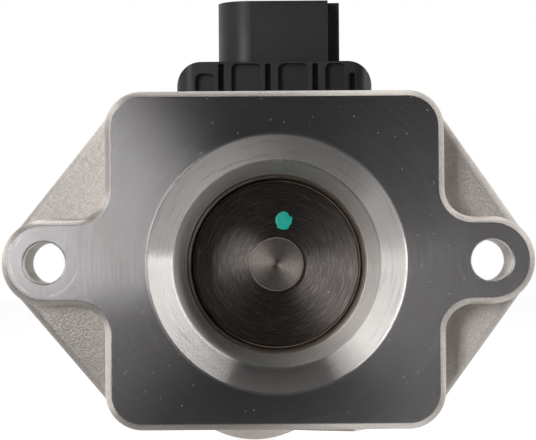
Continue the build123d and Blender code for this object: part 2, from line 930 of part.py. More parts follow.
def bearing_inner_ring():
    """Inner ring of the upper ball bearing."""
    outer = shaft_radius + bearing_ring_wall
    ring = ring_z(outer, shaft_radius, bearing_bottom, bearing_top, shaft_x, shaft_y)
    return ring - bearing_race()


def bearing_balls():
    """Balls of the upper bearing."""
    track = (bearing_radius + shaft_radius) / 2
    middle = (bearing_bottom + bearing_top) / 2
    places = around((shaft_x, shaft_y), track, bearing_ball_count)
    return Compound([Pos(*place, middle) * Sphere(bearing_ball_radius) for place in places])


def bearing_circlip():
    """Ring in the body that keeps the upper bearing down."""
    outer = bearing_radius + circlip_width / 3
    top = bearing_top + circlip_thickness
    return open_ring(outer, outer - circlip_width, bearing_top, top, shaft_x, shaft_y, 5.0)


# Gears

def involute_angle(base, radius):
    """Polar angle that an involute has turned through at a radius."""
    if radius <= base:
        return 0.0
    slope = acos(base / radius)
    return tan(slope) - slope


def polar(radius, angle):
    """Point at a radius and an angle in radians."""
    return (radius * cos(angle), radius * sin(angle))


def tooth_edges(teeth, module, shift, number, phase):
    """Edges of one tooth and of the root that follows it."""
    slope = radians(pressure_angle)
    pitch_radius = module * teeth / 2
    base = pitch_radius * cos(slope)
    tip = pitch_radius + module * (1 + shift)
    root = pitch_radius - module * (1.25 - shift)
    half = (pi / 2 + 2 * shift * tan(slope)) / teeth - gear_backlash / (2 * pitch_radius)
    half += tan(slope) - slope
    middle = phase + 2 * pi * number / teeth
    start = max(base, root)
    radii = [start + (tip - start) * step / 4 for step in range(5)]
    spread = [half - involute_angle(base, radius) for radius in radii]
    rising = [polar(radius, middle - turn) for radius, turn in zip(radii, spread)]
    falling = [polar(radius, middle + turn) for radius, turn in zip(radii, spread)][::-1]
    root_turn = spread[0]
    next_root = middle + 2 * pi / teeth - root_turn
    root_middle = (middle + root_turn + next_root) / 2
    edges = [
        Spline(*rising),
        ThreePointArc(rising[-1], polar(tip, middle), falling[0]),
        Spline(*falling),
    ]
    if root < start:
        edges.append(Line(falling[-1], polar(root, middle + root_turn)))
    edges.append(ThreePointArc(
        polar(root, middle + root_turn), polar(root, root_middle), polar(root, next_root)
    ))
    if root < start:
        edges.append(Line(polar(root, next_root), polar(start, next_root)))
    return edges


def gear_plan(teeth, module, shift, phase):
    """Full gear outline about the origin, with one tooth centred on the phase angle."""
    edges = []
    for number in range(teeth):
        edges += tooth_edges(teeth, module, shift, number, phase)
    return make_face(edges)


def wedge_plan(radius, start, end):
    """Pie slice between two angles in radians."""
    middle = (start + end) / 2
    arc = ThreePointArc(polar(radius, start), polar(radius, middle), polar(radius, end))
    return make_face([Line((0, 0), polar(radius, start)), arc, Line(polar(radius, end), (0, 0))])


def sector_gear():
    """Output gear that has teeth only over the travel it needs."""
    margin = radians(sector_margin_angle)
    travel = radians(2 * crank_half_angle)
    reach = output_module * (sector_teeth + 2)
    teeth = gear_plan(sector_teeth, output_module, -output_shift, mesh_direction)
    teeth &= wedge_plan(reach, mesh_direction - margin, mesh_direction + travel + margin)
    plan = teeth + Circle(sector_hub_radius)
    gear = Pos(shaft_x, shaft_y) * prism_z(plan, sector_bottom, sector_top)
    gear -= shaft_gear_seat(sector_top)
    window_turn = mesh_direction + travel / 2
    window_reach = (sector_hub_radius + output_module * sector_teeth / 2) / 2
    for offset in (-0.5, 0.0, 0.5):
        spot = polar(window_reach - 0.3, window_turn + offset)
        gear -= rod_z(1.9, sector_bottom, sector_top, shaft_x + spot[0], shaft_y + spot[1])
    return gear


def sensor_magnet():
    """Magnet on the end of the shaft that the sensor reads."""
    bottom = sector_top + clip_thickness + loose_gap
    disc = rod_z(magnet_radius, bottom, bottom + magnet_height, shaft_x, shaft_y)
    rims = disc.edges().group_by(Axis.Z)[-1]
    return chamfer(rims, 0.3)


def idler_axle():
    """Pin pressed into the deck that the idler turns on."""
    return rod_z(idler_axle_radius, deck_z - idler_axle_root, cover_inner_top, idler_x, idler_y)


def idler_washer():
    """Thrust washer under the idler."""
    top = sector_bottom - running_gap
    return ring_z(idler_washer_radius, idler_axle_radius, deck_z, top, idler_x, idler_y)


def idler_gear():
    """Small gear below and large gear above, moulded as one."""
    small_phase = mesh_direction + pi + pi / idler_small_teeth
    small = gear_plan(idler_small_teeth, output_module, output_shift, small_phase)
    large = gear_plan(idler_large_teeth, motor_module, -motor_shift, pinion_direction)
    gear = prism_z(small, sector_bottom, large_gear_bottom)
    wheel = prism_z(large, large_gear_bottom, large_gear_top)
    rim = motor_module * idler_large_teeth / 2 - 3
    dish = ring_z(rim, idler_hub_radius + 2, large_gear_top - 1.2, large_gear_top)
    gear += wheel - dish
    gear -= rod_z(idler_axle_radius + running_gap, sector_bottom, large_gear_top)
    return Pos(idler_x, idler_y, 0) * gear


def motor_pinion():
    """Steel pinion on the motor shaft."""
    phase = pinion_direction + pi + pi / pinion_teeth
    plan = gear_plan(pinion_teeth, motor_module, motor_shift, phase)
    bottom = large_gear_bottom - loose_gap
    top = large_gear_top + loose_gap
    return Pos(motor_x, motor_y) * prism_z(plan - Circle(motor_shaft_radius), bottom, top)


# Motor

def motor_can():
    """Drawn steel can with a boss at its closed end."""
    inner = motor_radius - motor_wall
    x, y = motor_x, motor_y
    bearing_bottom_z = motor_boss_bottom + motor_wall
    can = rod_z(motor_radius, motor_bottom, motor_plate_bottom, x, y)
    can += rod_z(motor_boss_radius, motor_boss_bottom, motor_bottom, x, y)
    can -= rod_z(inner, motor_bottom + motor_wall, motor_plate_bottom, x, y)
    return can - rod_z(motor_bearing_radius, bearing_bottom_z, motor_bottom + motor_wall, x, y)


def motor_end_plate():
    """Steel plate that closes the can and screws to the deck."""
    x, y = motor_x, motor_y
    plan = Pos(x, y) * Circle(motor_radius)
    for ear in motor_ears:
        plan += bar_between((x, y), ear, motor_ear_radius)
    plate = prism_z(plan, motor_plate_bottom, deck_z)
    plate -= rod_z(motor_bearing_radius, motor_plate_bottom, deck_z, x, y)
    for ear in motor_ears:
        plate -= rod_z(motor_screw_radius + thread_gap, motor_plate_bottom, deck_z, *ear)
    for place in terminal_places:
        plate -= terminal_slot(place, terminal_gap())
    return plate


def terminal_gap():
    """Insulating gap round each terminal blade."""
    return 2 * loose_gap


def terminal_slot(place, gap):
    """Upright blade at one terminal place, grown by a gap."""
    return block(
        place - terminal_width / 2 - gap,
        place + terminal_width / 2 + gap,
        terminal_y - terminal_thickness / 2 - gap,
        terminal_y + terminal_thickness / 2 + gap,
        motor_plate_bottom - 4.0,
        deck_z + terminal_rise,
    )


def motor_screws():
    """Three screws that hold the motor plate down."""
    screws = []
    for ear in motor_ears:
        screw = rod_z(motor_screw_radius, deck_z - motor_screw_depth, deck_z, *ear)
        head = rod_z(motor_screw_head_radius, deck_z, deck_z + motor_screw_head_height, *ear)
        top = deck_z + motor_screw_head_height
        recess = Pos(*ear, top - 1.0) * Cylinder(1.1, 1.0, align=(Align.CENTER, Align.CENTER, Align.MIN))
        screws.append(screw + head - recess)
    return Compound(screws)


def motor_magnets():
    """Two curved magnets inside the can."""
    outer = motor_radius - motor_wall
    inner = outer - motor_magnet_thickness
    half = radians(motor_magnet_half_angle)
    pair = []
    for middle in (0.0, pi):
        slice_plan = wedge_plan(outer + 1, middle - half, middle + half)
        plan = (Circle(outer) - Circle(inner)) & slice_plan
        magnet = prism_z(plan, motor_stack_bottom - 2, motor_stack_top + 2)
        pair.append(Pos(motor_x, motor_y, 0) * magnet)
    return Compound(pair)


def armature_radius():
    """Outer radius of the armature inside the magnets."""
    return motor_radius - motor_wall - motor_magnet_thickness - armature_gap


def armature_core():
    """Stacked core with slots for the windings."""
    radius = armature_radius()
    plan = Circle(radius)
    for place in around((0, 0), radius * 0.66, armature_poles):
        turn = degrees(atan2(place[1], place[0]))
        plan -= Pos(*place) * Circle(radius * 0.24)
        plan -= Pos(*place) * Rot(0, 0, turn) * (Pos(radius * 0.25, 0) * Rectangle(radius * 0.5, 1.4))
    plan -= Circle(motor_shaft_radius)
    return Pos(motor_x, motor_y) * prism_z(plan, motor_stack_bottom, motor_stack_top)


def armature_windings():
    """Wound coils that fill the slots and turn over both ends of the core."""
    radius = armature_radius()
    bundle = radius * 0.24 - 0.05
    shape = None
    for end_bottom in (motor_stack_bottom - winding_overhang, motor_stack_top):
        end_ring = ring_z(radius * 0.9, radius * 0.45, end_bottom, end_bottom + winding_overhang)
        shape = end_ring if shape is None else shape + end_ring
    for place in around((0, 0), radius * 0.66, armature_poles):
        shape += rod_z(bundle, motor_stack_bottom - 1, motor_stack_top + 1, *place)
    return Pos(motor_x, motor_y, 0) * shape


def commutator_bottom():
    """Lower end of the commutator, above the windings."""
    return motor_stack_top + winding_overhang + 1.0


def commutator():
    """Copper segments round the shaft."""
    bottom = commutator_bottom()
    top = bottom + commutator_length
    shape = ring_z(commutator_radius, motor_shaft_radius, bottom, top)
    for place in around((0, 0), commutator_radius, 2 * armature_poles):
        turn = degrees(atan2(place[1], place[0]))
        cut = Pos(*place, (bottom + top) / 2) * Rot(0, 0, turn) * Box(1.2, 0.4, top - bottom - 1)
        shape -= cut
    return Pos(motor_x, motor_y, 0) * shape


def motor_shaft():
    """Shaft through the motor and up into the gear space."""
    bottom = motor_boss_bottom + motor_wall + loose_gap
    shaft = rod_z(motor_shaft_radius, bottom, large_gear_top + 2 * loose_gap, motor_x, motor_y)
    return chamfer(shaft.edges().group_by(Axis.Z)[-1], loose_gap)


def motor_bearings():
    """Sleeve bearings in the can boss and in the end plate."""
    bore = motor_shaft_radius + running_gap
    lower = motor_boss_bottom + motor_wall
    x, y = motor_x, motor_y
    pair = [ring_z(motor_bearing_radius, bore, lower, lower + motor_bearing_length, x, y)]
    upper = deck_z - motor_bearing_length
    pair.append(ring_z(motor_bearing_radius, bore, upper, deck_z, x, y))
    return Compound(pair)


def motor_brushes():
    """Two carbon brushes against the commutator."""
    middle = commutator_bottom() + commutator_length / 2
    start = commutator_radius + running_gap
    pair = []
    for side in (-1, 1):
        near = motor_y + side * start
        far = motor_y + side * (start + brush_height + 1)
        pair.append(block(
            motor_x - brush_width / 2, motor_x + brush_width / 2, min(near, far), max(near, far),
            middle - brush_height / 2, middle + brush_height / 2,
        ))
    return Compound(pair)


def brush_holder():
    """Plastic ring under the end plate with a channel for each brush."""
    x, y = motor_x, motor_y
    middle = commutator_bottom() + commutator_length / 2
    outer = motor_radius - motor_wall
    bottom = middle - brush_height / 2 - 1.0
    holder = ring_z(outer, commutator_radius + 1.4, bottom, motor_plate_bottom, x, y)
    holder -= rod_z(motor_bearing_radius + loose_gap, bottom, motor_plate_bottom, x, y)
    holder -= block(
        x - brush_width / 2, x + brush_width / 2, y - outer - 1, y + outer + 1,
        middle - brush_height / 2, middle + brush_height / 2,
    )
    for place in terminal_places:
        holder -= terminal_slot(place, 0)
    return holder


def motor_terminals():
    """Two blades that stand up through the end plate."""
    return Compound([terminal_slot(place, 0) for place in terminal_places])


def motor_damper():
    """Rubber ring under the motor."""
    return ring_z(motor_radius - 1, damper_inner_radius, pocket_floor, motor_bottom, motor_x, motor_y)


# Closing plate under the drive chamber

def drive_gasket():
    """Thin gasket round the drive chamber opening."""
    bottom = drive_bottom - drive_gasket_thickness
    plan = drive_block_plan(drive_wall) - drive_block_plan(0)
    gasket = prism_z(plan, bottom, drive_bottom)
    for place in drive_screw_places():
        gasket -= rod_z(motor_screw_radius + thread_gap, bottom, drive_bottom, *place)
    return gasket


def drive_cover():
    """Pressed plate that closes the drive chamber from below."""
    top = drive_bottom - drive_gasket_thickness
    bottom = top - drive_cover_thickness
    plate = prism_z(drive_block_plan(drive_wall), bottom, top)
    dish = drive_block_plan(-drive_wall)
    plate += prism_z(dish, bottom - drive_cover_thickness, bottom)
    plate -= prism_z(drive_block_plan(-drive_wall - drive_cover_thickness), bottom, top)
    for place in drive_screw_places():
        plate -= rod_z(motor_screw_radius + thread_gap, bottom, top, *place)
    return plate


def drive_cover_screws():
    """Four screws under the drive chamber."""
    seat = drive_bottom - drive_gasket_thickness - drive_cover_thickness
    screws = []
    for place in drive_screw_places():
        screw = rod_z(motor_screw_radius, seat, drive_bottom + motor_screw_depth - 1, *place)
        head = rod_z(motor_screw_head_radius, seat - motor_screw_head_height, seat, *place)
        recess = rod_z(1.1, seat - motor_screw_head_height, seat - motor_screw_head_height + 1, *place)
        screws.append(screw + head - recess)
    return Compound(screws)


# Gear cover

def cover_profile(inset):
    """Front outline of the cover with rounded shoulders, drawn in X and Z."""
    width = cover_width - 2 * inset
    height = cover_top - inset - deck_z
    shape = Pos(cover_centre_x, deck_z + height / 2) * Rectangle(width, height)
    shoulders = shape.vertices().group_by(Axis.Y)[-1]
    return fillet(shoulders, cover_shoulder_radius - inset)


def cover_shell():
    """Outside of the cover without ribs, base or socket."""
    prism = prism_y(cover_profile(0), cover_front, cover_back)
    return prism & prism_z(cover_plan(), deck_z, cover_top)


def cover_cavity():
    """Space inside the cover."""
    left = cover_left + cover_side_wall
    right = cover_right - cover_side_wall
    front = cover_front + cover_front_wall
    back = cover_back - cover_back_wall
    height = cover_inner_top - deck_z
    profile = Pos(cover_centre_x, deck_z + height / 2) * Rectangle(right - left, height)
    shoulders = profile.vertices().group_by(Axis.Y)[-1]
    profile = fillet(shoulders, cover_shoulder_radius - cover_side_wall)
    plan = long_plan(
        left, right, front, back, cover_inner_radius, cover_rear_radius - cover_back_wall
    )
    return prism_y(profile, front, back) & prism_z(plan, deck_z, cover_inner_top)


def rib_pockets():
    """Pockets and narrow slots between the upright ribs of the front wall."""
    base = deck_z + cover_base_height
    tool = None
    for number in range(len(rib_places) - 1):
        left = rib_places[number] + rib_width / 2
        slot_right = rib_places[number + 1] - rib_width / 2
        slot_left = slot_right - rib_slot_width
        right = slot_left - rib_leg_width
        drop = outer_rib_drop if number == 0 else 0.0
        top = cover_top - rib_top_margin - drop
        slot_drop = outer_rib_drop if number == len(rib_places) - 2 else 0.0
        slot_top = cover_top - rib_top_margin - slot_drop
        pocket = rib_pocket(left, right, base, top, rib_pocket_depth, rib_corner_radius)
        slot = rib_pocket(slot_left, slot_right, base, slot_top, rib_slot_depth, rib_slot_width / 2.5)
        tool = pocket + slot if tool is None else tool + pocket + slot
    return tool


def rib_pocket(left, right, bottom, top, depth, radius):
    """One pocket with rounded upper corners, cut into the front wall."""
    shape = Pos((left + right) / 2, (bottom + top) / 2) * Rectangle(right - left, top - bottom)
    shape = fillet(shape.vertices().group_by(Axis.Y)[-1], radius)
    return prism_y(shape, cover_front - 1, cover_front + depth)


def side_pockets():
    """Shallow pockets over both shoulders and across the rear wall."""
    band = cover_profile(0) - cover_profile(side_pocket_depth)
    base = deck_z + cover_base_height
    reach = Rectangle(2 * cover_shoulder_radius, cover_top - base)
    middle_z = (base + cover_top) / 2
    sides = band & (Pos(cover_left, middle_z) * reach + Pos(cover_right, middle_z) * reach)
    first = cover_front + cover_plan_radius + rib_width
    room = cover_back - cover_rear_radius - first
    count = int(room // side_rib_pitch)
    tool = None
    for number in range(count):
        start = first + number * side_rib_pitch
        pocket = prism_y(sides, start, start + side_rib_pitch - rib_width)
        tool = pocket if tool is None else tool + pocket
    return tool


def lug_pad(lug):
    """Plan of one fixing lug with its neck to the cover wall."""
    inner_x = min(max(lug[0], cover_left + lug_radius), cover_right - lug_radius)
    inner_y = min(lug[1], cover_back - lug_radius)
    return bar_between(lug, (inner_x, inner_y), lug_radius)


def gasket_plan():
    """Ring-shaped plan of the cover gasket, just inside the outer edge."""
    return cover_plan(gasket_inset) - cover_plan(gasket_inset + gasket_width)


def socket_plan(inset):
    """Socket outline: round at its left end, square at its right end."""
    half = socket_depth / 2
    round_x = socket_left + half
    shape = Pos(round_x, socket_middle_y) * Circle(half - inset)
    right = socket_right - inset
    middle = Pos((round_x + right) / 2, socket_middle_y)
    return shape + middle * Rectangle(right - round_x, socket_depth - 2 * inset)


def socket_shroud():
    """Upright shroud round the connector pins, with a key rail on its right."""
    foot = cover_inner_top
    shroud = prism_z(socket_plan(0), foot, socket_top)
    key = block(
        socket_right - 1,
        socket_right + socket_key_width,
        socket_key_front,
        socket_key_front + socket_key_depth,
        cover_top - 1,
        socket_top,
    )
    shroud += key
    return shroud - prism_z(socket_plan(socket_wall), socket_floor, socket_top + 1)


def board_post_places():
    """Where the sensor board is staked to the cover."""
    return [
        (board_left + post_inset, board_front + post_inset),
        (board_right - post_inset, board_front + post_inset),
        (board_left + post_inset, board_back - post_inset),
    ]


def gear_cover():
    """Moulded cover with its socket, ribs, lugs and inner posts."""
    shape = cover_shell() - rib_pockets() - side_pockets()
    for lug in lug_places:
        shape += prism_z(lug_pad(lug), deck_z, deck_z + cover_base_height)
    shape -= cover_cavity()
    shape -= prism_z(gasket_plan(), deck_z, deck_z + gasket_height)
    shape += socket_shroud()
    for lug in lug_places:
        bush = cover_screw_radius + thread_gap + cover_bush_wall
        shape -= rod_z(bush, deck_z, deck_z + cover_base_height, *lug)
    for x in pin_places:
        shape -= pin_blade(x)
    for place in board_post_places():
        shape += rod_z(post_radius, board_bottom - 0.8, cover_inner_top, *place)
    axle_room = rod_z(idler_axle_radius + running_gap, cover_inner_top - 2, cover_inner_top, idler_x, idler_y)
    boss = rod_z(idler_hub_radius, large_gear_top + loose_gap, cover_inner_top, idler_x, idler_y)
    return shape + boss - axle_room


def cover_gasket():
    """Rubber gasket in the groove under the cover."""
    return prism_z(gasket_plan(), deck_z, deck_z + gasket_height)


def cover_bushes():
    """Metal sleeves in the cover lugs."""
    bore = cover_screw_radius + thread_gap
    top = deck_z + cover_base_height
    return Compound([ring_z(bore + cover_bush_wall, bore, deck_z, top, *lug) for lug in lug_places])


def cover_screws():
    """Screws that hold the cover to the deck lugs."""
    seat = deck_z + cover_base_height
    top = seat + cover_screw_head_height
    screws = []
    for lug in lug_places:
        screw = rod_z(cover_screw_radius, deck_z - cover_screw_grip, seat, *lug)
        head = rod_z(cover_screw_head_radius, seat, top, *lug)
        recess = rod_z(1.6, top - 1.2, top, *lug)
        screws.append(screw + head - recess)
    return Compound(screws)


def pin_blade(x):
    """One upright connector pin."""
    return block(
        x - pin_thickness / 2,
        x + pin_thickness / 2,
        socket_middle_y - pin_width / 2,
        socket_middle_y + pin_width / 2,
        board_top,
        pin_top,
    )


def connector_pins():
    """Row of pins moulded into the floor of the socket."""
    pins = []
    for x in pin_places:
        pin = pin_blade(x)
        tips = pin.edges().group_by(Axis.Z)[-1]
        pins.append(chamfer(tips, pin_thickness / 4))
    return Compound(pins)


def sensor_board():
    """Circuit board under the roof of the cover."""
    plan = rounded_plan(board_left, board_right, board_front, board_back, 1.5)
    board = prism_z(plan, board_bottom, board_top)
    for place in board_post_places():
        board -= rod_z(post_radius, board_bottom, board_top, *place)
    return board


def sensor_chip():
    """Position sensor over the magnet."""
    half = chip_size / 2
    return block(
        shaft_x - half, shaft_x + half, shaft_y - half, shaft_y + half,
        board_bottom - chip_height, board_bottom,
    )


def motor_contacts():
    """Spring contacts that hang from the cover onto the motor blades."""
    leaf = 0.5
    top = cover_inner_top
    bottom = deck_z + terminal_rise - 2.5
    contacts = []
    for place in terminal_places:
        front = terminal_y - terminal_thickness / 2 - leaf - running_gap
        back = terminal_y + terminal_thickness / 2 + running_gap
        left = place - terminal_width / 2
        right = place + terminal_width / 2
        contact = block(left, right, front, front + leaf, bottom, top)
        contact += block(left, right, back, back + leaf, bottom, top)
        contact += block(left, right, front, back + leaf, top - leaf, top)
        contacts.append(contact)
    return Compound(contacts)


sub_parts = [
    valve_body, seat_ring, valve_disc, valve_stem, stem_bushing, stem_seal, seal_cap,
    return_spring, spring_retainer, stem_yoke, crank_shaft, crank_pin, crank_roller,
    roller_clip, needle_cup, needle_rollers, bearing_outer_ring, bearing_inner_ring,
    bearing_balls, bearing_circlip, sector_gear, sector_clip, sensor_magnet, idler_axle,
    idler_washer, idler_gear, motor_pinion, motor_can, motor_end_plate, motor_screws,
    motor_magnets, armature_core, armature_windings, commutator, motor_shaft, motor_bearings,
    motor_brushes, brush_holder, motor_terminals, motor_damper, drive_gasket, drive_cover,
    drive_cover_screws, gear_cover, cover_gasket, cover_bushes, cover_screws, connector_pins,
    sensor_board, sensor_chip, motor_contacts,
]

os.makedirs("parts", exist_ok=True)
for make in sub_parts:
    export_step(make(), f"parts/{make.__name__}.step")
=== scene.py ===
"""Look of the exhaust gas valve: materials, studio, camera and the few pieces added to the solids."""

import json
import math

import bpy
from mathutils import Matrix, Vector


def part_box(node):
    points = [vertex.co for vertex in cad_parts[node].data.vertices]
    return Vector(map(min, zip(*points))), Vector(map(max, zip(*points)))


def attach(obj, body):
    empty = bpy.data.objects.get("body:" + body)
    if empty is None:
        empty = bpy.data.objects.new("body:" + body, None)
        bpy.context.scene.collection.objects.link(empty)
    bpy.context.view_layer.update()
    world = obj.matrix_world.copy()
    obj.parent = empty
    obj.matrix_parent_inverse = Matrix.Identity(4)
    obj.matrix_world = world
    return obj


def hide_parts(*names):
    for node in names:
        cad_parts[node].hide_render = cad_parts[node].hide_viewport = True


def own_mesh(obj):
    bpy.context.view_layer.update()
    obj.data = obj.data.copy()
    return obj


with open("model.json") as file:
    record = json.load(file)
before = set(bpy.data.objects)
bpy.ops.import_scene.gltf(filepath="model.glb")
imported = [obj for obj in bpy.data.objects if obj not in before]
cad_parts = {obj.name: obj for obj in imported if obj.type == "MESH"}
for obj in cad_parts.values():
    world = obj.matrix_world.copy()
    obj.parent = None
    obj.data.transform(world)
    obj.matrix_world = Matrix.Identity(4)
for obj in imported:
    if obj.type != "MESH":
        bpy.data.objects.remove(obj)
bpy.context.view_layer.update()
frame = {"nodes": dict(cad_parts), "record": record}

MM = 0.001

# Places on the valve, in metres

SEAT_LOW, SEAT_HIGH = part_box("seat_ring")
DISC_LOW, DISC_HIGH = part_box("valve_disc")
BODY_LOW, BODY_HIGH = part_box("valve_body")
PORT_AXIS = ((SEAT_LOW.x + SEAT_HIGH.x) / 2, (SEAT_LOW.z + SEAT_HIGH.z) / 2)
PORT_RADIUS = 28.3 * MM
EAR_HOLES = ((-49.85 * MM, 0.55 * MM), (46.15 * MM, 0.55 * MM))
EAR_HOLE_RADIUS = 4.5 * MM
PRINT_RADIUS = 7.2 * MM
FACE_DEPTH = 0.35 * MM
FULL_TURN = 2 * math.pi


# Node helpers

def linear(red, green, blue):
    """Scene colour of a colour given as it looks on a screen, 0 to 255."""
    def channel(value):
        share = value / 255
        return share / 12.92 if share <= 0.04045 else ((share + 0.055) / 1.055) ** 2.4
    return (channel(red), channel(green), channel(blue), 1.0)


class Nodes:
    """Node tree with short calls for its nodes."""

    def __init__(self, tree):
        self.tree = tree

    def feed(self, socket, value):
        if isinstance(value, bpy.types.NodeSocket):
            self.tree.links.new(value, socket)
        else:
            socket.default_value = value

    def node(self, kind, inputs=None, **settings):
        made = self.tree.nodes.new(kind)
        for name, value in settings.items():
            setattr(made, name, value)
        for name, value in (inputs or {}).items():
            self.feed(made.inputs[name], value)
        return made

    def maths(self, operation, first, second=0.0, clamp=False):
        inputs = {0: first, 1: second}
        return self.node("ShaderNodeMath", inputs, operation=operation, use_clamp=clamp).outputs[0]

    def vector(self, operation, first, second=None):
        inputs = {0: first}
        if second is not None:
            inputs[1] = second
        return self.node("ShaderNodeVectorMath", inputs, operation=operation).outputs[0]

    def parts_of(self, vector):
        return self.node("ShaderNodeSeparateXYZ", {0: vector}).outputs

    def spread(self, value, low, high, to_low=0.0, to_high=1.0):
        """Value moved from one range to another, held at its ends."""
        inputs = {"Value": value, "From Min": low, "From Max": high, "To Min": to_low, "To Max": to_high}
        return self.node("ShaderNodeMapRange", inputs).outputs["Result"]


class Recipe(Nodes):
    """One principled material and the nodes that feed it."""

    def __init__(self, name, roughness, metallic=0.0):
        self.material = bpy.data.materials.new(name)
        self.material.use_nodes = True
        super().__init__(self.material.node_tree)
        self.shader = self.tree.nodes["Principled BSDF"]
        self.shader.inputs["Metallic"].default_value = metallic
        self.shader.inputs["Roughness"].default_value = roughness
        self.place = self.node("ShaderNodeTexCoord").outputs["Object"]
        self.normal = self.node("ShaderNodeNewGeometry").outputs["Normal"]

    def set(self, name, value):
        self.feed(self.shader.inputs[name], value)

    def noise(self, size, detail=2.0):
        """Noise whose features are about this size in metres."""
        inputs = {"Vector": self.place, "Scale": 1 / size, "Detail": detail}
        return self.node("ShaderNodeTexNoise", inputs).outputs["Fac"]

    def rings(self, radius, pitch, detail):
        """Noise that depends only on the distance from an axis, as a turning tool leaves it."""
        inputs = {"W": radius, "Scale": 1 / pitch, "Detail": detail}
        return self.node("ShaderNodeTexNoise", inputs, noise_dimensions="1D").outputs["Fac"]

    def mix(self, share, first, second):
        inputs = {"Factor": share, 6: first, 7: second}
        return self.node("ShaderNodeMix", inputs, data_type="RGBA").outputs[2]

    def blend(self, share, first, second):
        """Number between two numbers."""
        return self.node("ShaderNodeMix", {"Factor": share, 2: first, 3: second}).outputs[0]

    def bump(self, height, depth, normal=None):
        inputs = {"Height": height, "Distance": depth, "Strength": 1.0}
        if normal is not None:
            inputs["Normal"] = normal
        return self.node("ShaderNodeBump", inputs).outputs["Normal"]

    def specks(self, spacing, share, size):
        """Sparse round specks: one for each shown cell of a cell pattern."""
        inputs = {"Vector": self.place, "Scale": 1 / spacing}
        cells = self.node("ShaderNodeTexVoronoi", inputs)
        chosen = self.maths("GREATER_THAN", self.parts_of(cells.outputs["Color"])[0], 1 - share)
        near = self.spread(cells.outputs["Distance"], size / spacing, 0.3 * size / spacing)
        return self.maths("MULTIPLY", chosen, near)

    def radius_from(self, centre):
        """Distance from an axis that runs along Y, and the vector away from it."""
        moved = self.vector("SUBTRACT", self.place, (centre[0], 0.0, centre[1]))
        flat = self.vector("MULTIPLY", moved, (1.0, 0.0, 1.0))
        length = self.node("ShaderNodeVectorMath", {0: flat}, operation="LENGTH").outputs["Value"]
        return length, flat

    def streaks(self, radius, away, pitch, breaks):
        """Tool marks round an axis that fade in and out along their way round."""
        way = self.parts_of(self.vector("NORMALIZE", away))
        spot = {"X": self.maths("DIVIDE", radius, pitch)}
        spot["Y"] = self.maths("MULTIPLY", way[0], breaks)
        spot["Z"] = self.maths("MULTIPLY", way[2], breaks)
        inputs = {"Vector": self.node("ShaderNodeCombineXYZ", spot).outputs[0], "Scale": 1.0, "Detail": 2.0}
        return self.node("ShaderNodeTexNoise", inputs).outputs["Fac"]

    def turned(self, away, amount):
        """Gloss drawn out across tool marks that run round an axis along Y."""
        round_it = self.vector("CROSS_PRODUCT", (0.0, 1.0, 0.0), away)
        across = self.vector("CROSS_PRODUCT", round_it, self.normal)
        self.set("Anisotropic", amount)
        self.set("Tangent", self.vector("NORMALIZE", across))


# Metals: each fade has its start and end, and dust has its spacing, share and size

MIDDLE = (0.3, 0.7)
FACE_NORMALS = (-0.94, -0.97)
FACE_LEVELS = (2 * FACE_DEPTH, FACE_DEPTH)
PORT_WALL = (PORT_RADIUS, PORT_RADIUS - 0.3 * MM)
PORT_END = (45 * MM, 40 * MM)
CHAMFER_END = (3.6 * MM, 4.4 * MM)
EAR_HOLE_WALL = (EAR_HOLE_RADIUS + 0.2 * MM, EAR_HOLE_RADIUS + 0.1 * MM)
PRINT_LINE = (0.22 * MM, 0.08 * MM)
PRINT_WEAR_SIZE = 3.5 * MM
CAST_GRAIN_SIZE = 0.34 * MM
CAST_GRAIN_DEPTH = 0.09 * MM
CAST_CLOUD_SIZE = 14 * MM
CAST_EDGE = 0.5 * MM
TOOL_PITCH = 0.22 * MM
TOOL_MARK_SHARE = 0.06
SMEAR_PITCH = 0.7 * MM
SCRATCH_PITCH = 0.12 * MM
CAST_GLOSS = (0.62, 0.5)
FACE_GLOSS = (0.255, 0.268)
CHAMFER_GLOSS = 0.26
BORE_GLOSS = 0.46
CUT_STRETCH = 0.88
FACE_DUST = ((1.9 * MM, 0.9, 0.22 * MM), (7 * MM, 0.5, 0.36 * MM))
DISC_DUST = ((1.9 * MM, 0.5, 0.17 * MM), (4 * MM, 0.4, 0.26 * MM))
STEEL_MARK_DEPTH = 0.012 * MM
# Metallic and gloss of the painted highlight on the edges of turned steel
STEEL_EDGE_HIGHLIGHT_METALLIC = 0.45
STEEL_EDGE_HIGHLIGHT_GLOSS = 0.5
CAST_LIGHT = linear(230, 224, 219)
CAST_DARK = linear(204, 197, 191)
FACE_LIGHT = linear(178, 176, 178)
FACE_DARK = linear(168, 165, 166)
FACE_STAIN = linear(150, 144, 140)
BORE_COLOUR = linear(228, 225, 222)
DUST = linear(214, 205, 190)
SCRATCH = linear(206, 198, 194)
# Pale colour of the painted highlight on the edges of turned steel
EDGE_HIGHLIGHT_COLOUR = linear(206, 192, 180)


